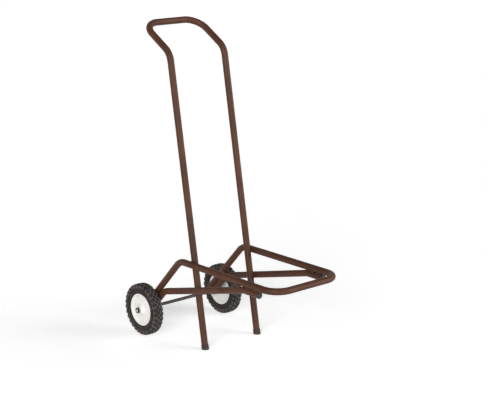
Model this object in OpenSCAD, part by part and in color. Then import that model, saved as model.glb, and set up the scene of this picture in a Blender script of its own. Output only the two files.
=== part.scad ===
// Two-wheeled trolley of bent round tube with a low fork for carrying a stack.
// The fork points to -Y, the handle and the wheels are at +Y, left is -X and the floor is Z = 0.
// Handle, fork and braces are welded where they touch. Each wheel spins on the fixed axle.

/* [Frame tubes] */
// Outside diameter of the handle tube
handle_od = 25; // [18:0.1:32]
// Outside diameter of the fork and brace tubes
base_od = 25; // [20:0.1:30]
// Wall of the tubes
tube_wall = 1.6; // [1:0.1:2.5]
// Centre-line radius of every bend
bend_r = 64; // [45:1:75]
// Amount by which bending draws the tube's radius in
bend_draw = 0.03; // [0.02:0.01:0.1]
// Room between two tubes that a weld joins
weld_gap = 0.2; // [0.1:0.05:0.5]

/* [Handle frame] */
// Distance between the centre-lines of the uprights
upright_spacing = 254.4; // [200:0.2:320]
// Lean of the uprights from the vertical, in degrees
upright_lean = 9.5; // [4:0.1:15]
// Length of an upright, from the floor to its bend
upright_len = 1097; // [900:1:1250]
// Lean of the handle arms from the vertical, in degrees
handle_lean = 59.2; // [40:0.1:75]
// Length of a handle arm, from the upright's bend to the grip bar
handle_arm = 184; // [140:1:240]

/* [Fork] */
// Height of the fork arms' centre-line
fork_height = 320; // [280:1:360]
// Distance from the foot line to the front crossbar
fork_reach = 419; // [340:1:500]
// Slope of the rear legs below the horizontal, in degrees
leg_slope = 46.2; // [40:0.1:54]

/* [Braces] */
// Distance from the front crossbar to a brace's front end
brace_inset = 84; // [40:1:100]
// Length of a brace under the fork arm, up to its front bend
brace_front_run = 82; // [60:1:150]
// Length of a brace from its rear bend down to the axle
brace_rear_run = 110; // [80:1:130]
// Length of the tube ends below the axle
tube_tail = 11; // [10:0.5:20]

/* [Axle] */
// Diameter of the axle
axle_d = 12.7; // [10:0.1:16]
// Distance of the axle behind the foot line
axle_setback = 286; // [240:1:340]
// Thickness of the collar between brace and hub
spacer_t = 2; // [1:0.5:10]
// Diameter of the collar
spacer_d = 22; // [19:0.5:26]
// Thickness of the washer outside the hub
washer_t = 1.5; // [1:0.5:4]
// Diameter of the washer
washer_d = 22; // [20:0.5:34]
// Size of the axle nut across its flats
nut_flats = 19; // [17:0.5:24]
// Height of the axle nut
nut_h = 6; // [5:0.5:12]
// Length of the axle past its nut
axle_end = 2; // [1:0.5:6]
// Bevel on the axle's ends
axle_bevel = 1; // [0.5:0.25:2]

/* [Wheels] */
// Diameter of a wheel over its tread
wheel_d = 200; // [180:1:240]
// Width of a tyre
tyre_w = 39; // [38:0.5:46]
// Width of a tyre between the lips of its rim
bead_w = 32; // [26:0.5:33]
// Height of a tyre from the rim's lip to the tread
sidewall_h = 38; // [34:0.5:44]
// Bevel along the tyre's shoulders
shoulder = 5; // [3:0.5:7]
// Depth of the tread
tread_depth = 3.2; // [1.5:0.1:4.5]
// Height of a tread block down the side of the tyre
lug_h = 15; // [10:1:20]
// Number of tread blocks round one half of a tyre
tread_count = 30; // [20:1:48]
// Width of the groove round the middle of the tread
groove_w = 4; // [2:0.5:6]
// Height of the rim's lip above the seat of the tyre
lip_h = 4; // [2:0.5:6]
// Thickness of the pressed rim discs
disc_t = 1.6; // [1:0.1:2.5]
// Depth of the dish in a rim disc
dish_depth = 5; // [2:0.5:8]
// Length of a hub over its bushes
hub_len = 54; // [44:1:64]
// Outside diameter of the hub tube
hub_od = 25; // [22:0.5:30]
// Wall of the hub tube
hub_wall = 2.4; // [1.5:0.1:3]
// Length of a bush in the hub tube
bush_len = 14; // [8:1:18]
// Diameter of a bush's flange
flange_d = 29; // [26:0.5:34]
// Thickness of a bush's flange
flange_t = 2; // [1:0.5:3]

/* [Feet and plugs] */
// Outside diameter of a foot tip
tip_d = 28.5; // [24:0.5:40]
// Height of a foot tip along its upright
tip_h = 18; // [14:1:40]
// Rubber under the end of an upright
tip_base = 5; // [3:0.5:12]
// Length of a plug inside its tube
plug_depth = 10; // [6:1:20]
// Thickness of a plug's head
plug_head = 1.5; // [1:0.5:4]

/* [Fits] */
// Clearance round pieces that are pressed or slid together and stay
slide_fit = 0.05; // [0.02:0.01:0.1]
// Running clearance between the axle and a bush
running_fit = 0.06; // [0.02:0.01:0.1]
// End play of a wheel on each side
end_play = 0.3; // [0.1:0.1:0.6]

/* [Hidden] */
$fn = 96;

paint = "#55372a";
rubber = "#383230";
white_enamel = "#f2f0ec";
dark_steel = "#55504e";
zinc = "#a8a6a2";
black_plastic = "#2e2826";
nylon = "#d8d4c8";

// Length by which a cut runs past the face that it opens
overrun = 2;
// Length by which a straight run laps over the start of a bend
bend_lap = 0.6;
// Sides of the axle nut
nut_sides = 6;
// Part of a tread pitch that is rubber, at the top and at the root of the blocks
block_share = 0.62;
root_share = 0.72;
// Part of the tread's depth by which a block stands out at the side of the tyre
side_share = 0.4;
// Radius of the flat ring round the hub, as a part of the rim seat's radius
hub_ring_share = 0.42;
// Radius where the dish begins, as a part of the rim seat's radius
dish_edge_share = 0.86;

handle_r = handle_od / 2;
base_r = base_od / 2;
plug_r = base_r - tube_wall;
tube_step = base_od + weld_gap;
axle_r = axle_d / 2;
wheel_r = wheel_d / 2;

// The origin is under the middle of the whole trolley, from the crossbar to the back of the wheels
foot_y = (fork_reach + base_r - axle_setback - wheel_r) / 2;
front_y = foot_y - fork_reach;
axle_y = foot_y + axle_setback;
axle_z = wheel_r;

// Handle frame
upright_x = upright_spacing / 2;
upright_dir = [0, sin(upright_lean), cos(upright_lean)];
handle_dir = [0, sin(handle_lean), cos(handle_lean)];
foot = [upright_x, foot_y, 0];
upright_top = foot + upright_len * upright_dir;
grip_corner = upright_top + handle_arm * handle_dir;

// Fork and braces lie in one plane on each side, just outside the uprights
side_x = upright_x + handle_r + weld_gap + base_r;
leg_dir = [0, cos(leg_slope), -sin(leg_slope)];
leg_normal = [0, sin(leg_slope), cos(leg_slope)];
axle_point = [side_x, axle_y, axle_z];
leg_foot = axle_point + tube_step * leg_normal;
leg_end = leg_foot + tube_tail * leg_dir;
leg_top = leg_foot - (fork_height - leg_foot.z) / sin(leg_slope) * leg_dir;
fork_corner = [side_x, front_y, fork_height];
brace_z = fork_height - tube_step;
brace_front = [side_x, front_y + brace_inset, brace_z];
brace_front_bend = brace_front + [0, brace_front_run, 0];
brace_rear_bend = axle_point - brace_rear_run * leg_dir;
brace_end = axle_point + tube_tail * leg_dir;

// Places along the axle, from the brace outwards
spacer_x = side_x + base_r + slide_fit;
hub_x = spacer_x + spacer_t + end_play;
wheel_x = hub_x + hub_len / 2;
washer_x = hub_x + hub_len + end_play;
nut_x = washer_x + washer_t;
axle_x = nut_x + nut_h + axle_end;

// Wheel section, in radius and in distance from the wheel's middle plane
lip_r = wheel_r - sidewall_h;
seat_r = lip_r - lip_h;
lug_r = wheel_r - lug_h;
crown_r = wheel_r - tread_depth;
tyre_half = tyre_w / 2;
side_half = tyre_half - side_share * tread_depth;
tread_pitch = 360 / tread_count;
bead_half = bead_w / 2;
hub_half = hub_len / 2 - flange_t;
hub_r = hub_od / 2;
hub_bore_r = hub_r - hub_wall;
web_x = bead_half + disc_t - dish_depth;

// Vectors and lengths along a bent tube
function unit(v) = v / norm(v);
function turn(a, b, c) = acos(unit(b - a) * unit(c - b));
function setback(a, b, c) = bend_r * tan(turn(a, b, c) / 2);
function towards(a, b, d) = a + d * unit(b - a);
function direction(angle) = [cos(angle), sin(angle)];
function mirrored(p) = [-p.x, p.y, p.z];
function both_sides(half) = concat(half, [for (i = [len(half) - 1 : -1 : 0]) mirrored(half[i])]);
function run_start(p, i) =
    i == 0 ? p[0] : towards(p[i], p[i + 1], setback(p[i - 1], p[i], p[i + 1]) - bend_lap);
function run_end(p, i) =
    i == len(p) - 2 ? p[i + 1] : towards(p[i + 1], p[i], setback(p[i], p[i + 1], p[i + 2]) - bend_lap);
function lengthened(p, d) = [
    for (i = [0 : len(p) - 1])
        i == 0 ? towards(p[0], p[1], -d) : i == len(p) - 1 ? towards(p[i], p[i - 1], -d) : p[i]
];

// Straight round bar from a to b
module bar(a, b, r) {
    v = b - a;
    translate(a)
        rotate([0, acos(v.z / norm(v)), atan2(v.y, v.x)])
            cylinder(h = norm(v), r = r);
}

// Round elbow at b on the way from a to c
module elbow(a, b, c, r) {
    along = unit(b - a);
    next = unit(c - b);
    inward = unit(next - (along * next) * along);
    axis = cross(along, inward);
    centre = b - setback(a, b, c) * along + bend_r * inward;
    multmatrix([
        [-inward.x, along.x, axis.x, centre.x],
        [-inward.y, along.y, axis.y, centre.y],
        [-inward.z, along.z, axis.z, centre.z]
    ])
        rotate_extrude(angle = turn(a, b, c))
            translate([bend_r, 0])
                circle(r = r - bend_draw);
}

// Bent round bar through the corner points p
module bent_bar(p, r) {
    for (i = [0 : len(p) - 2])
        bar(run_start(p, i), run_end(p, i), r);
    for (i = [1 : len(p) - 2])
        elbow(p[i - 1], p[i], p[i + 1], r);
}

module bent_tube(p, r) {
    difference() {
        bent_bar(p, r);
        bent_bar(lengthened(p, overrun), r - tube_wall);
    }
}

// Ring about the X axis, from x0 to x1
module ring(x0, x1, outer_r, inner_r) {
    translate([x0, 0, 0])
        rotate([0, 90, 0])
            difference() {
                cylinder(h = x1 - x0, r = outer_r);
                translate([0, 0, -overrun])
                    cylinder(h = x1 - x0 + 2 * overrun, r = inner_r);
            }
}

module on_axle() {
    translate([0, axle_y, axle_z])
        children();
}

// Left side as the mirror image of the right side
module left() {
    mirror([1, 0, 0])
        children();
}

module handle_frame() {
    color(paint)
        bent_tube(both_sides([foot + tip_base * upright_dir, upright_top, grip_corner]), handle_r);
}

module fork_frame() {
    color(paint)
        bent_tube(both_sides([leg_end, leg_top, fork_corner]), base_r);
}

// The axle passes through the lower end of the brace
module brace() {
    color(paint)
        difference() {
            bent_tube([brace_front, brace_front_bend, brace_rear_bend, brace_end], base_r);
            on_axle()
                ring_hole(axle_r + slide_fit);
        }
}

// Round hole along the axle through the tubes of one side
module ring_hole(r) {
    translate([side_x - base_od, 0, 0])
        rotate([0, 90, 0])
            cylinder(h = 2 * base_od, r = r);
}

// Rubber tip, cut flat where it stands on the floor
module foot_tip() {
    color(black_plastic)
        difference() {
            bar(foot - tip_d * upright_dir, foot + tip_h * upright_dir, tip_d / 2);
            bar(foot + tip_base * upright_dir, foot + (tip_h + overrun) * upright_dir, handle_r + slide_fit);
            translate([foot.x - tip_d, foot.y - tip_d, -2 * tip_d])
                cube(2 * tip_d);
        }
}

// Plug in the tube end at p, whose tube comes from direction dir
module tube_plug(p, dir, depth) {
    bar(p - depth * dir, p + plug_head / 2 * dir, plug_r - slide_fit);
    bar(p, p + plug_head * dir, base_r);
}

module tube_plugs() {
    color(black_plastic) {
        tube_plug(leg_end, leg_dir, plug_depth);
        tube_plug(brace_end, leg_dir, tube_tail - axle_r - 2 * slide_fit);
        tube_plug(brace_front, [0, -1, 0], plug_depth);
    }
}

module axle() {
    color(dark_steel)
        on_axle()
            rotate([0, 90, 0])
                rotate_extrude()
                    polygon([
                        [0, -axle_x], [axle_r - axle_bevel, -axle_x], [axle_r, axle_bevel - axle_x],
                        [axle_r, axle_x - axle_bevel], [axle_r - axle_bevel, axle_x], [0, axle_x]
                    ]);
}

module axle_spacer() {
    color(zinc)
        on_axle()
            ring(spacer_x, spacer_x + spacer_t, spacer_d / 2, axle_r + slide_fit);
}

module axle_washer() {
    color(zinc)
        on_axle()
            ring(washer_x, washer_x + washer_t, washer_d / 2, axle_r + slide_fit);
}

module axle_nut() {
    color(dark_steel)
        on_axle()
            translate([nut_x, 0, 0])
                rotate([0, 90, 0])
                    difference() {
                        cylinder(h = nut_h, d = nut_flats / cos(180 / nut_sides), $fn = nut_sides);
                        translate([0, 0, -overrun])
                            cylinder(h = nut_h + 2 * overrun, r = axle_r + slide_fit);
                    }
}

// Wheel pieces are turned about their own axis, then set on the axle
module on_wheel() {
    on_axle()
        translate([wheel_x, 0, 0])
            rotate([0, 90, 0])
                children();
}

// Tyre without its tread, seated between the lips of the rim
module carcass() {
    half = [
        [seat_r + slide_fit, bead_half - slide_fit], [lip_r + slide_fit, bead_half - slide_fit],
        [lip_r + shoulder, side_half], [crown_r - shoulder, side_half], [crown_r, side_half - shoulder]
    ];
    rotate_extrude()
        polygon(concat(half, [for (i = [len(half) - 1 : -1 : 0]) [half[i].x, -half[i].y]]));
}

// Star of tread blocks on one half of a tyre, as seen along the axle
module tread_star(turned) {
    top_r = wheel_r + tread_depth;
    edges = [[-root_share, lip_r], [-block_share, top_r], [block_share, top_r], [root_share, lip_r]];
    polygon([
        for (i = [0 : tread_count - 1], edge = edges)
            edge[1] * direction(turned + tread_pitch * (i + edge[0] / 2))
    ]);
}

// Tread blocks on one half of a tyre, from the middle groove round the shoulder
module tread_half(turned) {
    intersection() {
        rotate_extrude()
            polygon([
                [lug_r, groove_w / 2], [lug_r, tyre_half], [wheel_r - shoulder, tyre_half],
                [wheel_r, tyre_half - shoulder], [wheel_r, groove_w / 2]
            ]);
        linear_extrude(tyre_w)
            tread_star(turned);
    }
}

module tyre() {
    color(rubber)
        on_wheel() {
            carcass();
            tread_half(0);
            mirror([0, 0, 1])
                tread_half(tread_pitch / 2);
        }
}

// Pressed half of the rim: lip, seat, dished web and collar round the hub tube
module rim_disc() {
    color(white_enamel)
        on_wheel()
            rotate_extrude()
                polygon([
                    [lip_r, bead_half], [lip_r, bead_half + disc_t], [seat_r - disc_t, bead_half + disc_t],
                    [dish_edge_share * seat_r, web_x], [hub_ring_share * seat_r, web_x],
                    [hub_r + disc_t, hub_half], [hub_r + slide_fit, hub_half],
                    [hub_r + slide_fit, hub_half - disc_t], [hub_ring_share * seat_r, web_x - disc_t],
                    [dish_edge_share * seat_r, web_x - disc_t], [seat_r - disc_t, web_x - disc_t],
                    [seat_r - disc_t, 0], [seat_r, 0], [seat_r, bead_half]
                ]);
}

module hub_tube() {
    color(zinc)
        on_wheel()
            translate([0, 0, -hub_half])
                difference() {
                    cylinder(h = 2 * hub_half, r = hub_r);
                    translate([0, 0, -overrun])
                        cylinder(h = 2 * (hub_half + overrun), r = hub_bore_r);
                }
}

// Flanged bearing bush in the outer end of the hub tube
module bush() {
    color(nylon)
        on_wheel()
            rotate_extrude()
                polygon([
                    [axle_r + running_fit, hub_half - bush_len],
                    [hub_bore_r - slide_fit, hub_half - bush_len], [hub_bore_r - slide_fit, hub_half],
                    [flange_d / 2, hub_half], [flange_d / 2, hub_half + flange_t],
                    [axle_r + running_fit, hub_half + flange_t]
                ]);
}

// Inner half of a wheel as the mirror image of its outer half
module inner_half() {
    translate([2 * wheel_x, 0, 0])
        left()
            children();
}

handle_frame();
fork_frame();
left() brace();  // left_brace
brace();  // right_brace
left() foot_tip();  // left_foot_tip
foot_tip();  // right_foot_tip
left() tube_plugs();  // left_tube_plugs
tube_plugs();  // right_tube_plugs
axle();
left() axle_spacer();  // left_axle_spacer
axle_spacer();  // right_axle_spacer
left() axle_washer();  // left_axle_washer
axle_washer();  // right_axle_washer
left() axle_nut();  // left_axle_nut
axle_nut();  // right_axle_nut
left() tyre();  // left_tyre
left() rim_disc();  // left_outer_disc
left() inner_half() rim_disc();  // left_inner_disc
left() hub_tube();  // left_hub_tube
left() bush();  // left_outer_bush
left() inner_half() bush();  // left_inner_bush
tyre();  // right_tyre
rim_disc();  // right_outer_disc
inner_half() rim_disc();  // right_inner_disc
hub_tube();  // right_hub_tube
bush();  // right_outer_bush
inner_half() bush();  // right_inner_bush
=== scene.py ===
from math import cos, pi, radians, sin, tan

import bmesh
import bpy
from mathutils import Matrix, Vector


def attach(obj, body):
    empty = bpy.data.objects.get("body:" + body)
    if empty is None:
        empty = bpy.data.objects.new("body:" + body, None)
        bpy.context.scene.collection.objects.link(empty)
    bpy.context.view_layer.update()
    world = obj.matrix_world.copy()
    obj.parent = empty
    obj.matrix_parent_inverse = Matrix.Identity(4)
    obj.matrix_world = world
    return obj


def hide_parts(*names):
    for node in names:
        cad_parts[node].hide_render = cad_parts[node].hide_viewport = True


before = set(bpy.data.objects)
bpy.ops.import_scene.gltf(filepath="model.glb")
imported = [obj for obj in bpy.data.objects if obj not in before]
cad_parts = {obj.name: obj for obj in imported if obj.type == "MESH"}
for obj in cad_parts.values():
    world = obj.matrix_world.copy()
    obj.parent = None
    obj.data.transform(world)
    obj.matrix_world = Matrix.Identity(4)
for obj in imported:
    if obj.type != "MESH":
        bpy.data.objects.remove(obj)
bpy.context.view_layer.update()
scene = bpy.context.scene

# Sizes of the solids, in metres and radians

HANDLE_R = 0.0125
BASE_R = 0.0125
BEND_R = 0.064
WELD_GAP = 0.0002
TUBE_WALL = 0.0016
UPRIGHT_X = 0.1272
UPRIGHT_LEAN = radians(9.5)
UPRIGHT_LEN = 1.097
HANDLE_LEAN = radians(59.2)
HANDLE_ARM = 0.184
FORK_Z = 0.320
FORK_REACH = 0.419
LEG_SLOPE = radians(46.2)
BRACE_INSET = 0.084
BRACE_FRONT_RUN = 0.082
BRACE_REAR_RUN = 0.110
TUBE_TAIL = 0.011
AXLE_R = 0.00635
AXLE_SETBACK = 0.286
WHEEL_R = 0.100
TYRE_HALF = 0.0195
BEAD_HALF = 0.016
LIP_R = 0.062
SEAT_R = 0.058
DISC_T = 0.0016
DISH_DEPTH = 0.005
HUB_LEN = 0.054
HUB_R = 0.0125
HUB_WALL = 0.0024
BUSH_LEN = 0.014
FLANGE_R = 0.0145
FLANGE_T = 0.002
SPACER_T = 0.002
SPACER_R = 0.011
WASHER_T = 0.0015
WASHER_R = 0.011
NUT_FLATS = 0.019
NUT_H = 0.006
AXLE_END = 0.002
END_PLAY = 0.0003
SLIDE_FIT = 0.00005
TIP_R = 0.01425
TIP_H = 0.018
TIP_BASE = 0.005
PLUG_HEAD = 0.0015
PLUG_DEPTH = 0.010
TREAD_DEPTH = 0.0032
TREAD_COUNT = 30

# Sizes and shares of the finer shape, and how many sides its round forms have

LARGE_ROUND = 144
NUT_ROUND = 96
SMALL_ROUND = 72
AXLE_ROUND = 64
TUBE_ROUND = 48
BEND_STEP = radians(4)
ROUNDING_SHARE = 0.48
NEARLY_FLAT = radians(88)
RING_STEPS = (0, 0.0006, 0.0020, 0.0026)
RING_FILLET = 0.0004
WELD_RING_R = 0.0082
WELD_GROOVE_X = 0.0062
WELD_PITCH = 0.0017
WELD_DROP = (0.0021, 0.0030, 0.0026)
WELD_UNEVEN = 0.22
FRONT_WELDS = ((0.004, 0.028), (0.046, 0.068))
REAR_WELDS = ((0.026, 0.050), (0.074, 0.096))
TIP_WAIST = 0.0007
TIP_RING = 0.0002
TIP_GRIPS = (0.0080, 0.0120)
TIP_CUT = 0.012
PLUG_EDGE = 0.55
PLUG_CROWN = 0.72
THREAD_LEN = 0.0125
THREAD_STEPS = 72
THREAD_PITCH = 0.0017
THREAD_DEPTH = 0.00095
AXLE_SLACK = 0.00002
AXLE_BEVEL = 0.0011
AXLE_BEVEL_SLOPE = 1.2
NUT_FACE = 0.96
NUT_MOUTH = 0.0009
NUT_BEVEL = radians(30)
BUSH_FIT = 0.00006
SHOULDER_BLOCK = (0.60, 0.72)
CROWN_BLOCK = (0.56, 0.68)
BLOCK_SUNK = 0.0008
BLOCK_BEVEL = 0.0007
SHOULDER_R = 0.0058
SHOULDER_FALL = 0.0006
SIDE_SLACK = 0.0013
RIM_EDGE = 0.86
RIM_RING = 0.42

# Places that follow from the sizes, on the right side

FOOT_Y = (FORK_REACH + BASE_R - AXLE_SETBACK - WHEEL_R) / 2
AXLE_Y = FOOT_Y + AXLE_SETBACK
SIDE_X = UPRIGHT_X + HANDLE_R + WELD_GAP + BASE_R
STEP = 2 * BASE_R + WELD_GAP
UP = Vector((0, sin(UPRIGHT_LEAN), cos(UPRIGHT_LEAN)))
FOOT = Vector((UPRIGHT_X, FOOT_Y, 0))
UPRIGHT_TOP = FOOT + UPRIGHT_LEN * UP
GRIP_CORNER = UPRIGHT_TOP + HANDLE_ARM * Vector((0, sin(HANDLE_LEAN), cos(HANDLE_LEAN)))
LEG = Vector((0, cos(LEG_SLOPE), -sin(LEG_SLOPE)))
AXLE_POINT = Vector((SIDE_X, AXLE_Y, WHEEL_R))
LEG_FOOT = AXLE_POINT + STEP * Vector((0, sin(LEG_SLOPE), cos(LEG_SLOPE)))
LEG_END = LEG_FOOT + TUBE_TAIL * LEG
LEG_TOP = LEG_FOOT - (FORK_Z - LEG_FOOT.z) / sin(LEG_SLOPE) * LEG
FORK_CORNER = Vector((SIDE_X, FOOT_Y - FORK_REACH, FORK_Z))
BRACE_FRONT = FORK_CORNER + Vector((0, BRACE_INSET, -STEP))
BRACE_FRONT_BEND = BRACE_FRONT + Vector((0, BRACE_FRONT_RUN, 0))
BRACE_REAR_BEND = AXLE_POINT - BRACE_REAR_RUN * LEG
BRACE_END = AXLE_POINT + TUBE_TAIL * LEG
SPACER_X = SIDE_X + BASE_R + SLIDE_FIT
HUB_X = SPACER_X + SPACER_T + END_PLAY
WHEEL_X = HUB_X + HUB_LEN / 2
WASHER_X = HUB_X + HUB_LEN + END_PLAY
NUT_X = WASHER_X + WASHER_T
AXLE_X = NUT_X + NUT_H + AXLE_END
HUB_HALF = HUB_LEN / 2 - FLANGE_T
WEB_X = BEAD_HALF + DISC_T - DISH_DEPTH
SIDES = {"right": 1, "left": -1}

# Camera, where the photograph was taken from

CAMERA_AT = Vector((-3.02410, -3.58991, 1.71398))
CAMERA_AZIMUTH = radians(-40.542)
CAMERA_ELEVATION = radians(13.906)
CAMERA_ROLL = radians(-0.366)
CAMERA_LENS = 97.588


def set_camera():
    data = bpy.data.cameras.new("camera")
    data.lens = CAMERA_LENS
    data.sensor_fit = "HORIZONTAL"
    data.sensor_width = 36
    back = Vector((
        sin(CAMERA_AZIMUTH) * cos(CAMERA_ELEVATION),
        -cos(CAMERA_AZIMUTH) * cos(CAMERA_ELEVATION),
        sin(CAMERA_ELEVATION),
    ))
    right = Vector((0, 0, 1)).cross(back).normalized()
    up = back.cross(right)
    turned_right = cos(CAMERA_ROLL) * right + sin(CAMERA_ROLL) * up
    turned_up = cos(CAMERA_ROLL) * up - sin(CAMERA_ROLL) * right
    made = bpy.data.objects.new("camera", data)
    made.matrix_world = (
        Matrix.Translation(CAMERA_AT) @ Matrix((turned_right, turned_up, back)).transposed().to_4x4()
    )
    scene.collection.objects.link(made)
    scene.camera = made


# Nodes and finishes


def linear(code):
    """Linear colour of an sRGB hex value."""
    parts = [int(code[i : i + 2], 16) / 255 for i in (1, 3, 5)]
    return tuple(c / 12.92 if c <= 0.04045 else ((c + 0.055) / 1.055) ** 2.4 for c in parts) + (1,)


def add(tree, kind, sockets=None, **settings):
    """Adds a node. A socket takes a plain value, or the output that feeds it."""
    made = tree.nodes.new(kind)
    for name, value in settings.items():
        setattr(made, name, value)
    for name, value in (sockets or {}).items():
        if isinstance(value, bpy.types.NodeSocket):
            tree.links.new(value, made.inputs[name])
        else:
            made.inputs[name].default_value = value
    return made


def finish_named(name):
    """New material with an empty tree, and the Object coordinates that its patterns use."""
    made = bpy.data.materials.new(name)
    made.use_nodes = True
    made.node_tree.nodes.clear()
    return made, made.node_tree, add(made.node_tree, "ShaderNodeTexCoord").outputs["Object"]


def per(mm):
    """Texture scale of a pattern whose cells are that many millimetres across."""
    return 1000 / mm


def stove_paint():
    """Dark brown stoved paint on steel tube: satin with a slight orange peel, a little uneven in tone
    where the coat is thinner, and with the faint dulling of a piece that is handled."""
    made, tree, at = finish_named("brown_stove_paint")
    broad = add(tree, "ShaderNodeTexNoise", {"Vector": at, "Scale": per(90), "Detail": 3.0})
    tone = add(tree, "ShaderNodeValToRGB", {"Fac": broad.outputs["Fac"]})
    tone.color_ramp.elements[0].position = 0.35
    tone.color_ramp.elements[0].color = linear("#4a2e21")
    tone.color_ramp.elements[1].position = 0.68
    tone.color_ramp.elements[1].color = linear("#5b3928")
    fine = add(tree, "ShaderNodeTexNoise", {"Vector": at, "Scale": per(6), "Detail": 4.0})
    dull = add(
        tree, "ShaderNodeMapRange",
        {"Value": fine.outputs["Fac"], "From Min": 0.3, "From Max": 0.7, "To Min": 0.42, "To Max": 0.56},
    )
    # Real orange peel is about 1 mm across; it is drawn coarser so that it shows
    peel = add(tree, "ShaderNodeTexNoise", {"Vector": at, "Scale": per(2.5), "Detail": 1.0})
    relief = add(
        tree, "ShaderNodeBump", {"Height": peel.outputs["Fac"], "Strength": 0.12, "Distance": 0.0003}
    )
    skin = add(
        tree, "ShaderNodeBsdfPrincipled",
        {
            "Base Color": tone.outputs["Color"], "Roughness": dull.outputs["Result"],
            "Normal": relief.outputs["Normal"], "IOR": 1.5, "Specular IOR Level": 0.2,
        },
    )
    add(tree, "ShaderNodeOutputMaterial", {"Surface": skin.outputs["BSDF"]})
    return made


def rim_enamel():
    """Off-white stoved enamel on pressed steel: glossy, almost even, with a trace of grey dust."""
    made, tree, at = finish_named("white_rim_enamel")
    dust = add(tree, "ShaderNodeTexNoise", {"Vector": at, "Scale": per(28), "Detail": 5.0})
    tone = add(tree, "ShaderNodeValToRGB", {"Fac": dust.outputs["Fac"]})
    tone.color_ramp.elements[0].position = 0.25
    tone.color_ramp.elements[0].color = linear("#efece6")
    tone.color_ramp.elements[1].position = 0.6
    tone.color_ramp.elements[1].color = linear("#f9f7f3")
    gloss = add(
        tree, "ShaderNodeMapRange",
        {"Value": dust.outputs["Fac"], "From Min": 0.3, "From Max": 0.7, "To Min": 0.34, "To Max": 0.22},
    )
    peel = add(tree, "ShaderNodeTexNoise", {"Vector": at, "Scale": per(3), "Detail": 1.0})
    relief = add(
        tree, "ShaderNodeBump", {"Height": peel.outputs["Fac"], "Strength": 0.06, "Distance": 0.0003}
    )
    skin = add(
        tree, "ShaderNodeBsdfPrincipled",
        {
            "Base Color": tone.outputs["Color"], "Roughness": gloss.outputs["Result"],
            "Normal": relief.outputs["Normal"], "IOR": 1.5, "Specular IOR Level": 0.3,
        },
    )
    add(tree, "ShaderNodeOutputMaterial", {"Surface": skin.outputs["BSDF"]})
    return made


def tyre_rubber():
    """Moulded carbon-black tyre rubber: matt grey-black with a fine mould grain, dusted paler in patches
    and paler grey on the faces that stand proud, the tops and ends of the tread blocks, partly as scuffing
    and partly as a painted highlight."""
    made, tree, at = finish_named("moulded_tyre_rubber")
    dust = add(tree, "ShaderNodeTexNoise", {"Vector": at, "Scale": per(30), "Detail": 6.0, "Roughness": 0.65})
    place = add(tree, "ShaderNodeSeparateXYZ", {"Vector": at})
    fore = add(tree, "ShaderNodeMath", {0: place.outputs["Y"], 1: AXLE_Y}, operation="SUBTRACT")
    above = add(tree, "ShaderNodeMath", {0: place.outputs["Z"], 1: WHEEL_R}, operation="SUBTRACT")
    from_axle = add(tree, "ShaderNodeCombineXYZ", {"X": fore.outputs["Value"], "Y": above.outputs["Value"]})
    radius = add(tree, "ShaderNodeVectorMath", {0: from_axle.outputs["Vector"]}, operation="LENGTH")
    beside = add(tree, "ShaderNodeMath", {0: place.outputs["X"]}, operation="ABSOLUTE")
    off_middle = add(tree, "ShaderNodeMath", {0: beside.outputs["Value"], 1: WHEEL_X}, operation="SUBTRACT")
    width = add(tree, "ShaderNodeMath", {0: off_middle.outputs["Value"]}, operation="ABSOLUTE")
    # Tops and ends of the tread blocks are painted paler: partly scuffing, partly a painted highlight that
    # leaves the grooves darker
    on_top = add(
        tree, "ShaderNodeMapRange",
        {"Value": radius.outputs["Value"], "From Min": WHEEL_R - 0.0022, "From Max": WHEEL_R - 0.0004},
    )
    on_end = add(
        tree, "ShaderNodeMapRange",
        {"Value": width.outputs["Value"], "From Min": TYRE_HALF - 0.0014, "From Max": TYRE_HALF - 0.0002},
    )
    proud = add(
        tree, "ShaderNodeMath", {0: on_top.outputs["Result"], 1: on_end.outputs["Result"]},
        operation="MAXIMUM",
    )
    worn = add(
        tree, "ShaderNodeMath", {0: proud.outputs["Value"], 1: dust.outputs["Fac"], 2: dust.outputs["Fac"]},
        operation="MULTIPLY_ADD",
    )
    tone = add(tree, "ShaderNodeValToRGB", {"Fac": worn.outputs["Value"]})
    tone.color_ramp.elements[0].position = 0.28
    tone.color_ramp.elements[0].color = linear("#1f1b1a")
    tone.color_ramp.elements[1].position = 0.62
    tone.color_ramp.elements[1].color = linear("#322c2a")
    tone.color_ramp.elements.new(1.0).color = linear("#5c5655")
    # The mould's grain is about 0.3 mm; it is drawn coarser so that it shows
    grain = add(tree, "ShaderNodeTexNoise", {"Vector": at, "Scale": per(0.9), "Detail": 2.0})
    matt = add(
        tree, "ShaderNodeMapRange",
        {"Value": grain.outputs["Fac"], "From Min": 0.3, "From Max": 0.7, "To Min": 0.62, "To Max": 0.82},
    )
    relief = add(
        tree, "ShaderNodeBump", {"Height": grain.outputs["Fac"], "Strength": 0.25, "Distance": 0.0003}
    )
    skin = add(
        tree, "ShaderNodeBsdfPrincipled",
        {
            "Base Color": tone.outputs["Color"], "Roughness": matt.outputs["Result"],
            "Normal": relief.outputs["Normal"], "IOR": 1.52, "Specular IOR Level": 0.2,
        },
    )
    add(tree, "ShaderNodeOutputMaterial", {"Surface": skin.outputs["BSDF"]})
    return made


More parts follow.
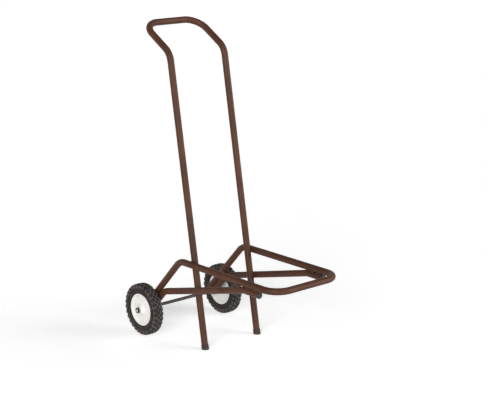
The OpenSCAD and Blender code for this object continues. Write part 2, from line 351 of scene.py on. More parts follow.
def tip_rubber():
    """Moulded rubber of the feet: dull brown-black, scuffed paler towards the floor."""
    made, tree, at = finish_named("moulded_tip_rubber")
    height = add(tree, "ShaderNodeSeparateXYZ", {"Vector": at})
    scuff = add(tree, "ShaderNodeTexNoise", {"Vector": at, "Scale": per(3.5), "Detail": 5.0})
    low = add(
        tree, "ShaderNodeMapRange",
        {"Value": height.outputs["Z"], "From Min": 0.0, "From Max": 0.012, "To Min": 0.9, "To Max": 0.25},
    )
    worn = add(
        tree, "ShaderNodeMath", {0: scuff.outputs["Fac"], 1: low.outputs["Result"]}, operation="MULTIPLY"
    )
    tone = add(tree, "ShaderNodeValToRGB", {"Fac": worn.outputs["Value"]})
    tone.color_ramp.elements[0].position = 0.1
    tone.color_ramp.elements[0].color = linear("#2a1e1a")
    tone.color_ramp.elements[1].position = 0.6
    tone.color_ramp.elements[1].color = linear("#46362d")
    relief = add(
        tree, "ShaderNodeBump", {"Height": scuff.outputs["Fac"], "Strength": 0.2, "Distance": 0.0003}
    )
    skin = add(
        tree, "ShaderNodeBsdfPrincipled",
        {
            "Base Color": tone.outputs["Color"], "Roughness": 0.72, "Normal": relief.outputs["Normal"],
            "IOR": 1.52,
        },
    )
    add(tree, "ShaderNodeOutputMaterial", {"Surface": skin.outputs["BSDF"]})
    return made


def plug_polythene():
    """Moulded black polythene of the tube plugs: dull sheen with a spark-eroded mould grain."""
    made, tree, at = finish_named("moulded_black_polythene")
    grain = add(tree, "ShaderNodeTexNoise", {"Vector": at, "Scale": per(0.7), "Detail": 3.0})
    tone = add(tree, "ShaderNodeValToRGB", {"Fac": grain.outputs["Fac"]})
    tone.color_ramp.elements[0].color = linear("#231f1d")
    tone.color_ramp.elements[1].color = linear("#332d2a")
    relief = add(
        tree, "ShaderNodeBump", {"Height": grain.outputs["Fac"], "Strength": 0.2, "Distance": 0.0002}
    )
    skin = add(
        tree, "ShaderNodeBsdfPrincipled",
        {
            "Base Color": tone.outputs["Color"], "Roughness": 0.5, "Normal": relief.outputs["Normal"],
            "IOR": 1.51,
        },
    )
    add(tree, "ShaderNodeOutputMaterial", {"Surface": skin.outputs["BSDF"]})
    return made


def zinc_plate():
    """Zinc-plated steel: soft grey metal with a faint crystal mottle and handling marks."""
    made, tree, at = finish_named("dull_zinc_plate")
    crystals = add(tree, "ShaderNodeTexVoronoi", {"Vector": at, "Scale": per(1.6)})
    tone = add(tree, "ShaderNodeValToRGB", {"Fac": crystals.outputs["Distance"]})
    tone.color_ramp.elements[0].color = linear("#c6c2bc")
    tone.color_ramp.elements[1].position = 0.7
    tone.color_ramp.elements[1].color = linear("#a7a39e")
    marks = add(tree, "ShaderNodeTexNoise", {"Vector": at, "Scale": per(2.2), "Detail": 4.0})
    rough = add(
        tree, "ShaderNodeMapRange",
        {"Value": marks.outputs["Fac"], "From Min": 0.3, "From Max": 0.7, "To Min": 0.32, "To Max": 0.5},
    )
    skin = add(
        tree, "ShaderNodeBsdfPrincipled",
        {"Base Color": tone.outputs["Color"], "Roughness": rough.outputs["Result"], "Metallic": 1.0},
    )
    add(tree, "ShaderNodeOutputMaterial", {"Surface": skin.outputs["BSDF"]})
    return made


def oxide_steel():
    """Drawn steel with a dark oxide skin: blue-brown black, drawn lightly along its length, and bare
    and bright where the axle's ends were cut past the nuts."""
    made, tree, at = finish_named("dark_oxide_steel")
    # The draw lines lie along X; they are drawn coarse, as real ones are too fine to show
    along = add(tree, "ShaderNodeMapping", {"Vector": at, "Scale": (0.05, 1, 1)})
    lines = add(
        tree, "ShaderNodeTexNoise", {"Vector": along.outputs["Vector"], "Scale": per(1.2), "Detail": 3.0}
    )
    tone = add(tree, "ShaderNodeValToRGB", {"Fac": lines.outputs["Fac"]})
    tone.color_ramp.elements[0].position = 0.3
    tone.color_ramp.elements[0].color = linear("#37302e")
    tone.color_ramp.elements[1].position = 0.72
    tone.color_ramp.elements[1].color = linear("#534a47")
    rough = add(
        tree, "ShaderNodeMapRange",
        {"Value": lines.outputs["Fac"], "From Min": 0.3, "From Max": 0.7, "To Min": 0.38, "To Max": 0.55},
    )
    place = add(tree, "ShaderNodeSeparateXYZ", {"Vector": at})
    reach = add(tree, "ShaderNodeMath", {0: place.outputs["X"]}, operation="ABSOLUTE")
    past_nut = NUT_X + NUT_H + 0.0002
    bare = add(
        tree, "ShaderNodeMapRange",
        {"Value": reach.outputs["Value"], "From Min": past_nut, "From Max": past_nut + 0.0002},
    )
    colour = add(
        tree, "ShaderNodeMix",
        {0: bare.outputs["Result"], 6: tone.outputs["Color"], 7: linear("#b4b0ab")}, data_type="RGBA",
    )
    skin = add(
        tree, "ShaderNodeBsdfPrincipled",
        {"Base Color": colour.outputs[2], "Roughness": rough.outputs["Result"], "Metallic": 0.6},
    )
    add(tree, "ShaderNodeOutputMaterial", {"Surface": skin.outputs["BSDF"]})
    return made


def bush_nylon():
    """Moulded natural nylon of the bushes: cream, slightly waxy, with a faint flow mottle."""
    made, tree, at = finish_named("natural_nylon")
    flow = add(tree, "ShaderNodeTexNoise", {"Vector": at, "Scale": per(4), "Detail": 2.0})
    tone = add(tree, "ShaderNodeValToRGB", {"Fac": flow.outputs["Fac"]})
    tone.color_ramp.elements[0].color = linear("#cfc9ba")
    tone.color_ramp.elements[1].color = linear("#ddd9cd")
    skin = add(
        tree, "ShaderNodeBsdfPrincipled",
        {"Base Color": tone.outputs["Color"], "Roughness": 0.42, "IOR": 1.53, "Subsurface Weight": 0.08,
         "Subsurface Radius": (0.002, 0.0018, 0.0014)},
    )
    add(tree, "ShaderNodeOutputMaterial", {"Surface": skin.outputs["BSDF"]})
    return made


# Meshes


def mesh_of(shape, name, crease=35):
    """Plain mesh of a bmesh, smooth but for edges sharper than crease degrees."""
    made = bpy.data.meshes.new(name)
    bmesh.ops.recalc_face_normals(shape, faces=shape.faces)
    shape.to_mesh(made)
    shape.free()
    return softened(made, crease)


def softened(mesh, crease=35):
    """The same mesh, smooth but for edges sharper than crease degrees."""
    mesh.polygons.foreach_set("use_smooth", [True] * len(mesh.polygons))
    mesh.set_sharp_from_angle(angle=radians(crease))
    return mesh


def rounded(corners, steps=5):
    """Closed outline of (radius, distance) points, from corners that each end in a rounding radius."""
    made = []
    for i, (r, d, fillet) in enumerate(corners):
        here = Vector((r, d))
        before = Vector(corners[i - 1][:2]) - here
        after = Vector(corners[(i + 1) % len(corners)][:2]) - here
        half = before.angle(after) / 2
        shorter = min(before.length, after.length)
        reach = min(fillet / tan(half), ROUNDING_SHARE * shorter) if fillet else 0
        if reach < 1e-6 or half > NEARLY_FLAT:
            made.append((r, d))
            continue
        centre = here + (before.normalized() + after.normalized()).normalized() * reach / cos(half)
        first = here + before.normalized() * reach - centre
        last = here + after.normalized() * reach - centre
        sweep = first.angle_signed(last)
        for k in range(steps + 1):
            arm = first.copy()
            arm.rotate(Matrix.Rotation(-sweep * k / steps, 2))
            made.append(tuple(centre + arm))
    return made


def turned(outline, at, along, name, segments, crease=35):
    """Solid that a closed outline of (radius, distance) points gives when it is turned about an axis."""
    side = along.orthogonal().normalized()
    other = along.cross(side)
    angles = [2 * pi * i / segments for i in range(segments)]
    shape = bmesh.new()
    rings = []
    for r, d in outline:
        centre = at + d * along
        if r < 1e-7:
            rings.append([shape.verts.new(centre)] * segments)
        else:
            rings.append([shape.verts.new(centre + r * (cos(a) * side + sin(a) * other)) for a in angles])
    for a, b in zip(rings, rings[1:] + rings[:1]):
        for i in range(segments):
            corners = list(dict.fromkeys([a[i - 1], a[i], b[i], b[i - 1]]))
            if len(corners) > 2:
                shape.faces.new(corners)
    return mesh_of(shape, name, crease)


def joined(meshes, name):
    """One mesh made of several."""
    shape = bmesh.new()
    for mesh in meshes:
        shape.from_mesh(mesh)
    made = bpy.data.meshes.new(name)
    shape.to_mesh(made)
    shape.free()
    return made


def path_mesh(points, name):
    """Mesh of one open row of edges, which a tree turns into a curve."""
    made = bpy.data.meshes.new(name)
    made.from_pydata([tuple(p) for p in points], [(i, i + 1) for i in range(len(points) - 1)], [])
    return made


# Geometry trees


def growing_tree(name, inputs):
    tree = bpy.data.node_groups.new(name, "GeometryNodeTree")
    tree.interface.new_socket("Geometry", in_out="INPUT", socket_type="NodeSocketGeometry")
    for label, kind in inputs:
        tree.interface.new_socket(label, in_out="INPUT", socket_type=kind)
    tree.interface.new_socket("Finish", in_out="INPUT", socket_type="NodeSocketMaterial")
    tree.interface.new_socket("Geometry", in_out="OUTPUT", socket_type="NodeSocketGeometry")
    return tree, add(tree, "NodeGroupInput").outputs


def end_tree(tree, given, shape):
    plain = add(tree, "GeometryNodeRealizeInstances", {"Geometry": shape})
    painted = add(
        tree, "GeometryNodeSetMaterial", {"Geometry": plain.outputs["Geometry"], "Material": given["Finish"]}
    )
    add(tree, "NodeGroupOutput", {"Geometry": painted.outputs["Geometry"]})
    return tree


def grown(tree, mesh, name, wall=0.0, **values):
    """Plain mesh that a tree grows from a mesh, with the tree's inputs set by name. A wall gives an open
    skin its thickness, inwards."""
    seed = bpy.data.objects.new(name, mesh)
    scene.collection.objects.link(seed)
    modifier = seed.modifiers.new("grow", "NODES")
    modifier.node_group = tree
    for socket in tree.interface.items_tree:
        if socket.in_out == "INPUT" and socket.name in values:
            modifier[socket.identifier] = values[socket.name]
    if wall:
        thick = seed.modifiers.new("wall", "SOLIDIFY")
        thick.thickness = wall
        thick.offset = -1
        thick.use_even_offset = True
    graph = bpy.context.evaluated_depsgraph_get()
    made = bpy.data.meshes.new_from_object(seed.evaluated_get(graph), depsgraph=graph)
    made.name = name
    seed.modifiers.clear()
    bpy.data.objects.remove(seed)
    return made


def bent_tube_tree():
    """Sweeps a round section along a path."""
    tree, given = growing_tree("bent_tube", [("Radius", "NodeSocketFloat"), ("Sides", "NodeSocketInt")])
    path = add(tree, "GeometryNodeMeshToCurve", {"Mesh": given["Geometry"]})
    section = add(
        tree, "GeometryNodeCurvePrimitiveCircle", {"Resolution": given["Sides"], "Radius": given["Radius"]}
    )
    skin = add(
        tree, "GeometryNodeCurveToMesh",
        {"Curve": path.outputs["Curve"], "Profile Curve": section.outputs["Curve"]},
    )
    return end_tree(tree, given, skin.outputs["Mesh"])


def weld_bead_tree():
    """Lays overlapping drops of weld along a path, each a little different in size."""
    tree, given = growing_tree(
        "weld_bead",
        [("Pitch", "NodeSocketFloat"), ("Drop", "NodeSocketVector"), ("Uneven", "NodeSocketFloat"),
         ("Seed", "NodeSocketInt")],
    )
    path = add(tree, "GeometryNodeMeshToCurve", {"Mesh": given["Geometry"]})
    dots = add(
        tree, "GeometryNodeResampleCurve", {"Curve": path.outputs["Curve"], "Length": given["Pitch"]},
        mode="LENGTH",
    )
    drop = add(tree, "GeometryNodeMeshUVSphere", {"Segments": 8, "Rings": 6, "Radius": 1.0})
    tangent = add(tree, "GeometryNodeInputTangent")
    turn = add(tree, "FunctionNodeAlignRotationToVector", {"Vector": tangent.outputs["Tangent"]}, axis="X")
    smaller = add(tree, "ShaderNodeMath", {0: 1.0, 1: given["Uneven"]}, operation="SUBTRACT")
    uneven = add(
        tree, "FunctionNodeRandomValue",
        {"Min": smaller.outputs["Value"], "Max": 1.0, "Seed": given["Seed"]}, data_type="FLOAT",
    )
    size = add(
        tree, "ShaderNodeVectorMath", {0: given["Drop"], "Scale": uneven.outputs[1]}, operation="SCALE"
    )
    drops = add(
        tree, "GeometryNodeInstanceOnPoints",
        {"Points": dots.outputs["Curve"], "Instance": drop.outputs["Mesh"],
         "Rotation": turn.outputs["Rotation"], "Scale": size.outputs["Vector"]},
    )
    return end_tree(tree, given, drops.outputs["Instances"])


def round_axle_tree():
    """Repeats a piece at even angles about the X axis."""
    tree, given = growing_tree("round_axle", [("Count", "NodeSocketInt")])
    dots = add(tree, "GeometryNodePoints", {"Count": given["Count"]})
    index = add(tree, "GeometryNodeInputIndex")
    share = add(tree, "ShaderNodeMath", {0: index.outputs["Index"], 1: given["Count"]}, operation="DIVIDE")
    angle = add(tree, "ShaderNodeMath", {0: share.outputs["Value"], 1: 2 * pi}, operation="MULTIPLY")
    turn = add(tree, "ShaderNodeCombineXYZ", {"X": angle.outputs["Value"]})
    copies = add(
        tree, "GeometryNodeInstanceOnPoints",
        {"Points": dots.outputs["Points"], "Instance": given["Geometry"], "Rotation": turn.outputs["Vector"]},
    )
    return end_tree(tree, given, copies.outputs["Instances"])


# Pieces


def piece(name, mesh, finish, body, slot, *nodes):
    """Shows a finished mesh as a piece that rides on a body and stands for CAD nodes."""
    mesh.materials.clear()
    mesh.materials.append(finish)
    made = bpy.data.objects.new(name, mesh)
    scene.collection.objects.link(made)
    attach(made, body)
    if nodes:
        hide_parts(*nodes)


def on_side(point, side):
    return Vector((side * point.x, point.y, point.z))


def both_sides(half):
    return half + [on_side(p, -1) for p in reversed(half)]


def bent(points):
    """Path through corner points, with each corner replaced by a bend of even radius."""
    path = [points[0]]
    for before, corner, after in zip(points, points[1:], points[2:]):
        come = (corner - before).normalized()
        go = (after - corner).normalized()
        turn = come.angle(go)
        inward = (go - come.dot(go) * come).normalized()
        centre = corner - BEND_R * tan(turn / 2) * come + BEND_R * inward
        count = max(4, round(turn / BEND_STEP))
        for k in range(count + 1):
            a = turn * k / count
            path.append(centre + BEND_R * (sin(a) * come - cos(a) * inward))
    return path + [points[-1]]


def tube(name, points, radius, finish, *nodes):
    path = path_mesh(bent(points), name)
    mesh = grown(tubes, path, name, wall=TUBE_WALL, Radius=radius, Sides=TUBE_ROUND, Finish=finish)
    piece(name, softened(mesh, 40), finish, "frame", "frame_paint", *nodes)


def crossing(side, a, b):
    """Point where an upright passes the line from a to b, seen from the side, midway between the tubes."""
    # FOOT + s * UP and a + t * (b - a) have the same Y and Z
    run = b - a
    det = UP.y * -run.z + run.y * UP.z
    s = ((a.y - FOOT.y) * -run.z + run.y * (a.z - FOOT.z)) / det
    at = FOOT + s * UP
    return Vector((side * (UPRIGHT_X + HANDLE_R + WELD_GAP / 2), at.y, at.z))


def weld_rings():
    """Paths of the welds round the places where an upright touches an arm or a brace."""
    paths = []
    for side in SIDES.values():
        for a, b in ((FORK_CORNER, LEG_TOP), (BRACE_FRONT_BEND, BRACE_REAR_BEND)):
            at = crossing(side, a, b)
            along = (b - a).normalized()
            paths.append([
                at + WELD_RING_R * (cos(k * pi / 12) * along + sin(k * pi / 12) * UP) for k in range(25)
            ])
    return paths


def weld_seams():
    """Paths of the short welds in the grooves where a brace lies along an arm or a leg."""
    paths = []
    for side in SIDES.values():
        for a, b, normal, places in (
            (BRACE_FRONT, BRACE_FRONT_BEND, Vector((0, 0, 1)), FRONT_WELDS),
            (BRACE_END, BRACE_REAR_BEND, Vector((0, sin(LEG_SLOPE), cos(LEG_SLOPE))), REAR_WELDS),
        ):
            along = (b - a).normalized()
            middle = a + normal * STEP / 2
            for first, last in places:
                for out in (-1, 1):
                    shift = Vector((out * WELD_GROOVE_X, 0, 0))
                    paths.append([on_side(middle + d * along + shift, side) for d in (first, last)])
    return paths


def add_welds(finish):
    drops = []
    for number, path in enumerate(weld_rings() + weld_seams()):
        name = f"weld_{number}"
        drops.append(grown(
            beads, path_mesh(path, name), name,
            Pitch=WELD_PITCH, Drop=WELD_DROP, Uneven=WELD_UNEVEN, Seed=number + 3, Finish=finish,
        ))
    piece("frame_welds", softened(joined(drops, "frame_welds"), 60), finish, "frame", "frame_paint")


def add_foot_tip(label, side, finish):
    """Rubber tip with a rounded mouth, two grip rings and a flared pad, cut flat at the floor."""
    wall = HANDLE_R + SLIDE_FIT
    waist = TIP_R - TIP_WAIST
    grips = [
        (TIP_R - sunk, start + step, RING_FILLET)
        for start in TIP_GRIPS
        for step, sunk in zip(RING_STEPS, (TIP_WAIST, TIP_RING, TIP_RING, TIP_WAIST))
    ]
    outline = rounded([
        (0.0, -TIP_CUT, 0), (TIP_R, -TIP_CUT, 0), (TIP_R, 0.0052, 0.0010), (waist, 0.0066, 0.0006), *grips,
        (waist, TIP_H, 0.0008), (wall, TIP_H, 0.0005), (wall, TIP_BASE, 0), (0.0, TIP_BASE, 0),
    ])
    name = f"{label}_tip"
    mesh = turned(outline, on_side(FOOT, side), UP, name, SMALL_ROUND)
    shape = bmesh.new()
    shape.from_mesh(mesh)
    cut = bmesh.ops.bisect_plane(
        shape, geom=shape.verts[:] + shape.edges[:] + shape.faces[:], plane_co=(0, 0, 0), plane_no=(0, 0, 1),
        clear_inner=True,
    )
    rim = [e for e in cut["geom_cut"] if isinstance(e, bmesh.types.BMEdge)]
    bmesh.ops.contextual_create(shape, geom=rim)
    piece(name, mesh_of(shape, name, 30), finish, "frame", "tip_rubber", f"{label}_foot_tip")


def add_plugs(label, side, finish):
    """Domed plugs in the three tube ends of one side."""
    stem = BASE_R - TUBE_WALL - SLIDE_FIT
    meshes = []
    for end, along, depth in (
        (LEG_END, LEG, PLUG_DEPTH),
        (BRACE_END, LEG, TUBE_TAIL - AXLE_R - 2 * SLIDE_FIT),
        (BRACE_FRONT, Vector((0, -1, 0)), PLUG_DEPTH),
    ):
        outline = rounded([
            (0.0, -depth, 0), (stem, -depth, 0.0006), (stem, 0.0, 0), (BASE_R, 0.0, 0.0002),
            (BASE_R, PLUG_HEAD * PLUG_EDGE, 0.0006), (BASE_R * PLUG_CROWN, PLUG_HEAD, 0.004),
            (0.0, PLUG_HEAD, 0),
        ])
        meshes.append(turned(outline, on_side(end, side), along, f"{label}_plug", TUBE_ROUND, 50))
    name = f"{label}_end_plugs"
    mesh = softened(joined(meshes, name), 50)
    piece(name, mesh, finish, "frame", "plug_plastic", f"{label}_tube_plugs")


def add_axle(finish):
    """Axle rod with a screw thread and a bevel at each end."""
    shape = bmesh.new()
    start = AXLE_X - THREAD_LEN
    inner = [start * (k / 6 - 1) for k in range(1, 12)]
    outer = [start + THREAD_LEN * k / THREAD_STEPS for k in range(THREAD_STEPS + 1)]
    places = [-x for x in reversed(outer)] + inner + outer
    rings = []
    for x in places:
        ring = []
        for i in range(AXLE_ROUND):
            a = 2 * pi * i / AXLE_ROUND
            r = AXLE_R - AXLE_SLACK
            if abs(x) > start + 1e-9:
                wave = abs(((x / THREAD_PITCH - i / AXLE_ROUND) % 1) * 2 - 1)
                r -= THREAD_DEPTH * wave * min(1, (abs(x) - start) / THREAD_PITCH)
                r = min(r, AXLE_R - AXLE_BEVEL + (AXLE_X - abs(x)) * AXLE_BEVEL_SLOPE)
            ring.append(shape.verts.new((x, AXLE_Y + r * cos(a), WHEEL_R + r * sin(a))))
        rings.append(ring)
    for a, b in zip(rings, rings[1:]):
        for i in range(AXLE_ROUND):
            shape.faces.new((a[i - 1], a[i], b[i], b[i - 1]))
    shape.faces.new(rings[0])
    shape.faces.new(rings[-1])
    piece("axle_rod", mesh_of(shape, "axle_rod", 25), finish, "frame", "axle_steel", "axle")


def add_collars(label, side, finish):
    """Spacer collar and washer of one side."""
    out = Vector((side, 0, 0))
    hub = Vector((0, AXLE_Y, WHEEL_R))
    bore = AXLE_R + SLIDE_FIT
    spacer = rounded([
        (bore, SPACER_X, 0.0004), (SPACER_R, SPACER_X, 0.0006), (SPACER_R, SPACER_X + SPACER_T, 0.0006),
        (bore, SPACER_X + SPACER_T, 0.0004),
    ])
    name = f"{label}_collar"
    mesh = turned(spacer, hub, out, name, AXLE_ROUND)
    piece(name, mesh, finish, "frame", "zinc_steel", f"{label}_axle_spacer")
    washer = rounded([
        (bore, WASHER_X, 0.0002), (WASHER_R, WASHER_X, 0.0003), (WASHER_R, WASHER_X + WASHER_T, 0.0007),
        (bore, WASHER_X + WASHER_T, 0.0003),
    ])
    name = f"{label}_washer"
    mesh = turned(washer, hub, out, name, AXLE_ROUND)
    piece(name, mesh, finish, "frame", "zinc_steel", f"{label}_axle_washer")


def add_nut(label, side, finish):
    """Hexagon nut with turned bevels on both faces and a countersunk thread."""
    flat = NUT_FLATS / 2
    bevel = flat * NUT_FACE
    mouth = AXLE_R + NUT_MOUTH
    bore = AXLE_R + SLIDE_FIT
    slope = tan(NUT_BEVEL)
    shape = bmesh.new()
    chain = ("bore", "mouth", "bevel", "edge")
    rings = {key: [] for key in chain}
    for i in range(NUT_ROUND):
        a = 2 * pi * i / NUT_ROUND
        edge = flat / cos((a + pi / 6) % (pi / 3) - pi / 6)
        drop = max(0, (edge - bevel) * slope)
        for key, r, d in (
            ("bore", bore, NUT_MOUTH), ("mouth", mouth, 0), ("bevel", min(bevel, edge), 0),
            ("edge", edge, drop),
        ):
            rings[key].append([
                shape.verts.new((side * (NUT_X + x), AXLE_Y + r * sin(a), WHEEL_R + r * cos(a)))
                for x in (d, NUT_H - d)
            ])
    for i in range(NUT_ROUND):
        for end in (0, 1):
            for a, b in zip(chain, chain[1:]):
                corners = (rings[a][i - 1], rings[a][i], rings[b][i], rings[b][i - 1])
                shape.faces.new([corner[end] for corner in corners])
        for key in ("bore", "edge"):
            shape.faces.new((rings[key][i - 1][0], rings[key][i][0], rings[key][i][1], rings[key][i - 1][1]))
    name = f"{label}_nut"
    piece(name, mesh_of(shape, name, 20), finish, "frame", "axle_steel", f"{label}_axle_nut")


# Wheels


def tread_block(section, top, root, offset):
    """One block of tread along a section's line of (distance, radius, outward) points. Its top and root
    are shares of the pitch, and so is the offset of its middle."""
    deep = TREAD_DEPTH + BLOCK_SUNK
    shape = bmesh.new()
    stations = []
    shown = set()
    for x, r, out_x, out_r in section:
        station = []
        for angle, sunk in ((-root, deep), (-top, 0), (top, 0), (root, deep)):
            here_r = r - sunk * out_r
            a = (offset + angle / 2) * 2 * pi / TREAD_COUNT
            station.append(shape.verts.new((x - sunk * out_x, here_r * sin(a), -here_r * cos(a))))
        stations.append(station)
        shown.update(station[1:3])
    for a, b in zip(stations, stations[1:]):
        for i in range(4):
            shape.faces.new((a[i - 1], a[i], b[i], b[i - 1]))
    shape.faces.new(stations[0])
    shape.faces.new(stations[-1])
    bmesh.ops.recalc_face_normals(shape, faces=shape.faces)
    sharp = [e for e in shape.edges if shown.intersection(e.verts) and e.calc_face_angle(0) > radians(38)]
    bmesh.ops.bevel(shape, geom=sharp, offset=BLOCK_BEVEL, segments=1, affect="EDGES", clamp_overlap=True)
    return mesh_of(shape, "tread_block", 40)


def shoulder_section():
    """Line of the outer tread from the side of the tyre round its shoulder to the crown."""
    line = [(TYRE_HALF - 0.0004, WHEEL_R - 0.0150, 1, 0), (TYRE_HALF, WHEEL_R - 0.0100, 1, 0)]
    for a in (0, pi / 6, pi / 3, pi / 2):
        line.append((
            TYRE_HALF - SHOULDER_R + SHOULDER_R * cos(a),
            WHEEL_R - SHOULDER_FALL - SHOULDER_R + SHOULDER_R * sin(a),
            cos(a), sin(a),
        ))
    return line + [(0.0092, WHEEL_R - 0.0002, 0.05, 1)]


def crown_section():
    """Line of the inner tread, beside the middle of the crown."""
    return [(0.0074, WHEEL_R - 0.0001, 0.04, 1), (0.0042, WHEEL_R, 0, 1), (0.0012, WHEEL_R, 0, 1)]


def mirrored_section(section):
    return [(-x, r, -out_x, out_r) for x, r, out_x, out_r in section]


def side_ring(start, half, rise):
    """Corners of a raised ring on the side of a tyre."""
    heights = (0, rise, rise, 0)
    fillets = (0, RING_FILLET, RING_FILLET, 0)
    return [(start + step, half + h, fillet) for step, h, fillet in zip(RING_STEPS, heights, fillets)]


def add_tyre(label, side, centre, finish):
    """Carcass with a bead, bulged sides and two rings on each side, and its staggered tread blocks."""
    crown = WHEEL_R - TREAD_DEPTH
    half = TYRE_HALF - SIDE_SLACK
    right = [
        (SEAT_R + SLIDE_FIT, BEAD_HALF - SLIDE_FIT, 0.0006), (LIP_R + SLIDE_FIT, BEAD_HALF - SLIDE_FIT, 0),
        (LIP_R + 0.0006, BEAD_HALF + 0.0006, 0.0004), (LIP_R + 0.0042, half, 0.004),
        *side_ring(LIP_R + 0.0072, half, 0.0006), *side_ring(WHEEL_R - 0.0178, half, 0.0007),
        (crown - 0.0008, half, 0.0060), (crown, half - 0.0120, 0),
    ]
    outline = rounded(right + [(r, -d, fillet) for r, d, fillet in reversed(right)], 4)
    name = f"{label}_carcass"
    mesh = turned(outline, centre, Vector((side, 0, 0)), name, LARGE_ROUND, 30)
    piece(name, mesh, finish, f"{label}_wheel", "tyre_rubber", f"{label}_tyre")
    blocks = joined([
        tread_block(shoulder_section(), *SHOULDER_BLOCK, 0),
        tread_block(crown_section(), *CROWN_BLOCK, 0.5),
        tread_block(mirrored_section(crown_section()), *CROWN_BLOCK, 0),
        tread_block(mirrored_section(shoulder_section()), *SHOULDER_BLOCK, 0.5),
    ], "tread_pitch")
    name = f"{label}_tread"
    mesh = grown(copies_round_axle, blocks, name, Count=TREAD_COUNT, Finish=finish)
    if side < 0:
        mesh.transform(Matrix.Scale(-1, 4, (1, 0, 0)))
        mesh.flip_normals()
    mesh.transform(Matrix.Translation(centre))
    piece(name, softened(mesh, 40), finish, f"{label}_wheel", "tyre_rubber")


def disc_outline():
    """Section of one pressed half of a rim: rolled lip, seat, dished web and raised collar."""
    edge, ring, seat = RIM_EDGE * SEAT_R, RIM_RING * SEAT_R, SEAT_R - DISC_T
    bore = HUB_R + SLIDE_FIT
    return rounded([
        (LIP_R, BEAD_HALF, 0.0005), (LIP_R, BEAD_HALF + DISC_T, 0.0010), (seat, BEAD_HALF + DISC_T, 0.0030),
        (edge, WEB_X, 0.0040), (ring, WEB_X, 0.0050), (bore + DISC_T, HUB_HALF, 0.0012),
        (bore, HUB_HALF, 0.0004), (bore, HUB_HALF - DISC_T, 0.0003), (ring, WEB_X - DISC_T, 0.0060),
        (edge, WEB_X - DISC_T, 0.0020), (seat, WEB_X - DISC_T, 0.0010), (seat, 0.0, 0), (SEAT_R, 0.0, 0),
        (SEAT_R, BEAD_HALF, 0.0008),
    ])


def add_wheel(label, side):
    centre = Vector((side * WHEEL_X, AXLE_Y, WHEEL_R))
    body = f"{label}_wheel"
    add_tyre(label, side, centre, rubber)
    for half, way in (("outer", side), ("inner", -side)):
        out = Vector((way, 0, 0))
        name = f"{label}_{half}_rim"
        mesh = turned(disc_outline(), centre, out, name, LARGE_ROUND)
        piece(name, mesh, enamel, body, "rim_enamel", f"{label}_{half}_disc")
        bore, fit = AXLE_R + BUSH_FIT, HUB_R - HUB_WALL - SLIDE_FIT
        bush = rounded([
            (bore, HUB_HALF - BUSH_LEN, 0.0003), (fit, HUB_HALF - BUSH_LEN, 0.0005), (fit, HUB_HALF, 0),
            (FLANGE_R, HUB_HALF, 0.0003), (FLANGE_R, HUB_HALF + FLANGE_T, 0.0007),
            (bore, HUB_HALF + FLANGE_T, 0.0004),
        ])
        name = f"{label}_{half}_bearing"
        mesh = turned(bush, centre, out, name, SMALL_ROUND)
        piece(name, mesh, nylon, body, "bush_nylon", f"{label}_{half}_bush")
    hub = rounded([
        (HUB_R - HUB_WALL, -HUB_HALF, 0.0003), (HUB_R, -HUB_HALF, 0.0004), (HUB_R, HUB_HALF, 0.0004),
        (HUB_R - HUB_WALL, HUB_HALF, 0.0003),
    ])
    name = f"{label}_hub"
    mesh = turned(hub, centre, Vector((side, 0, 0)), name, SMALL_ROUND)
    piece(name, mesh, zinc, body, "zinc_steel", f"{label}_hub_tube")


# Floor and light

FLOOR_GLOW = 0.58
AMBIENT = 0.33
CEILING = 0.22
WALL_TOP = 0.2
CEILING_EDGE = 0.65
FLOOR_HALF = 40
SOFTBOX_SPREAD = radians(32)
SOFTBOXES = {
    "left_softbox": (2.3, Vector((0.80, 0.53, -0.29))),
    "front_softbox": (1.7, Vector((-0.60, 0.75, -0.29))),
}


def seen_directly(tree):
    """1 for rays from the camera, a mirror or a glass, and 0 for the rays that light things."""
    ray = add(tree, "ShaderNodeLightPath")
    first = add(
        tree, "ShaderNodeMath", {0: ray.outputs["Is Camera Ray"], 1: ray.outputs["Is Glossy Ray"]},
        operation="MAXIMUM",
    )
    return add(
        tree, "ShaderNodeMath", {0: first.outputs["Value"], 1: ray.outputs["Is Transmission Ray"]},
        operation="MAXIMUM",
    ).outputs["Value"]


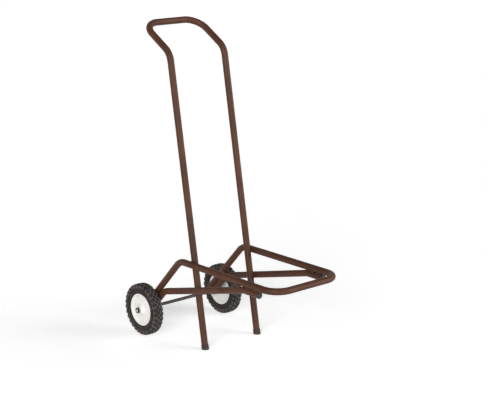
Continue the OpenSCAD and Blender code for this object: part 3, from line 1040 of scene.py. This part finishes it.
def set_stage():
    """Pale floor that keeps the shadow, white walls under a dimmer ceiling, and two large soft lights that
    stand low, one on the left and one in front."""
    made, tree, _ = finish_named("pale_floor")
    glow = add(tree, "ShaderNodeMath", {0: seen_directly(tree), 1: FLOOR_GLOW}, operation="MULTIPLY")
    matt = add(tree, "ShaderNodeBsdfDiffuse", {"Color": linear("#f2f2f2")})
    light = add(tree, "ShaderNodeEmission", {"Color": (1, 1, 1, 1), "Strength": glow.outputs["Value"]})
    both = add(tree, "ShaderNodeAddShader", {0: matt.outputs["BSDF"], 1: light.outputs["Emission"]})
    add(tree, "ShaderNodeOutputMaterial", {"Surface": both.outputs["Shader"]})
    shape = bmesh.new()
    bmesh.ops.create_grid(shape, x_segments=1, y_segments=1, size=FLOOR_HALF)
    mesh = bpy.data.meshes.new("floor")
    shape.to_mesh(mesh)
    shape.free()
    mesh.materials.append(made)
    floor = bpy.data.objects.new("floor", mesh)
    scene.collection.objects.link(floor)

    world = bpy.data.worlds.new("studio")
    scene.world = world
    world.use_nodes = True
    tree = world.node_tree
    tree.nodes.clear()
    way = add(tree, "ShaderNodeTexCoord").outputs["Generated"]
    height = add(tree, "ShaderNodeSeparateXYZ", {"Vector": way})
    wall = add(
        tree, "ShaderNodeMapRange",
        {"Value": height.outputs["Z"], "From Min": WALL_TOP, "From Max": CEILING_EDGE, "To Min": 1.0,
         "To Max": CEILING},
        interpolation_type="SMOOTHSTEP",
    )
    level = add(tree, "ShaderNodeMath", {0: wall.outputs["Result"], 1: AMBIENT}, operation="MULTIPLY")
    soft = add(tree, "ShaderNodeBackground", {"Color": (1, 1, 1, 1), "Strength": level.outputs["Value"]})
    white = add(tree, "ShaderNodeBackground", {"Color": (1, 1, 1, 1), "Strength": wall.outputs["Result"]})
    mix = add(
        tree, "ShaderNodeMixShader",
        {0: seen_directly(tree), 1: soft.outputs["Background"], 2: white.outputs["Background"]},
    )
    add(tree, "ShaderNodeOutputWorld", {"Surface": mix.outputs["Shader"]})

    for name, (strength, shines) in SOFTBOXES.items():
        lamp = bpy.data.lights.new(name, "SUN")
        lamp.energy = strength
        lamp.angle = SOFTBOX_SPREAD
        made = bpy.data.objects.new(name, lamp)
        made.rotation_euler = shines.to_track_quat("-Z", "Y").to_euler()
        scene.collection.objects.link(made)
    scene.view_settings.view_transform = "Standard"


set_camera()
paint = stove_paint()
enamel = rim_enamel()
rubber = tyre_rubber()
zinc = zinc_plate()
oxide = oxide_steel()
nylon = bush_nylon()
tip = tip_rubber()
plug = plug_polythene()
tubes = bent_tube_tree()
beads = weld_bead_tree()
copies_round_axle = round_axle_tree()

handle = both_sides([FOOT + TIP_BASE * UP, UPRIGHT_TOP, GRIP_CORNER])
tube("handle_tube", handle, HANDLE_R, paint, "handle_frame")
tube("fork_tube", both_sides([LEG_END, LEG_TOP, FORK_CORNER]), BASE_R, paint, "fork_frame")
for label, side in SIDES.items():
    brace = [on_side(p, side) for p in (BRACE_FRONT, BRACE_FRONT_BEND, BRACE_REAR_BEND, BRACE_END)]
    tube(f"{label}_brace_tube", brace, BASE_R, paint, f"{label}_brace")
add_welds(paint)
add_axle(oxide)
for label, side in SIDES.items():
    add_foot_tip(label, side, tip)
    add_plugs(label, side, plug)
    add_collars(label, side, zinc)
    add_nut(label, side, oxide)
    add_wheel(label, side)
set_stage()
